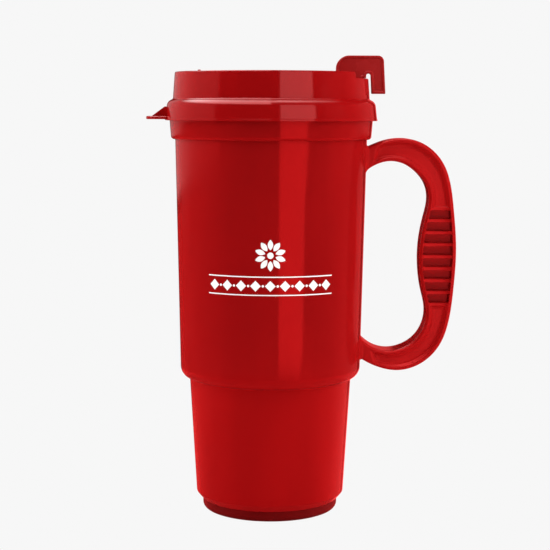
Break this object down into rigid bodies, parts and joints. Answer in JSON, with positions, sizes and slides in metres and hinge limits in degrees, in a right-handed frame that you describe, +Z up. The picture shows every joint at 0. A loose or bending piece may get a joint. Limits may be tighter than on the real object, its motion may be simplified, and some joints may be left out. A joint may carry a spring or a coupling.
{
  "type": "insulated travel mug",
  "caption": "Double-wall travel mug with a stepped body, ribbed loop handle, and a press-on lid whose drink shutter swivels by a thumb fin.",
  "frame": {"origin": "on the mug's axis, in the flat face it stands on", "axes": "+Z up along the mug's axis, +X towards the handle and the thumb fin, +Y completes the right-handed frame and crosses the mug's plane of symmetry"},
  "size_m": [0.1307, 0.0888, 0.1933],
  "materials": {
    "body_plastic": "glossy red polypropylene with a faint moulded waviness and fine handling scratches",
    "handle_plastic": "satin-gloss red polypropylene",
    "liner_plastic": "glossy red polypropylene, food grade",
    "base_plastic": "satin red polypropylene, scuffed where it stands",
    "insulating_foam": "closed-cell polyurethane foam",
    "lid_plastic": "high-gloss red polypropylene",
    "shutter_plastic": "satin dark red polypropylene with polished borders",
    "seal_rubber": "soft matt silicone",
    "print_ink": "white screen-printed ink"
  },
  "bodies": {
    "mug": {"outer_shell": "body_plastic", "handle": "handle_plastic", "inner_liner": "liner_plastic", "base_cap": "base_plastic", "foam_insulation": "insulating_foam"},
    "lid": {"lid_body": "lid_plastic", "lid_seal": "seal_rubber", "shutter_rivet": "shutter_plastic"},
    "shutter": {"swivel_shutter": "shutter_plastic"}
  },
  "joints": [
    {"name": "lid_lift", "type": "slide", "parent": "mug", "child": "lid", "axis": [0, 0, 1], "range_m": [0, 0.04]},
    {"name": "shutter_swivel", "type": "hinge", "parent": "lid", "child": "shutter", "pos_m": [0, 0, 0.182], "axis": [0, 0, 1], "range_deg": [-28, 28]}
  ]
}
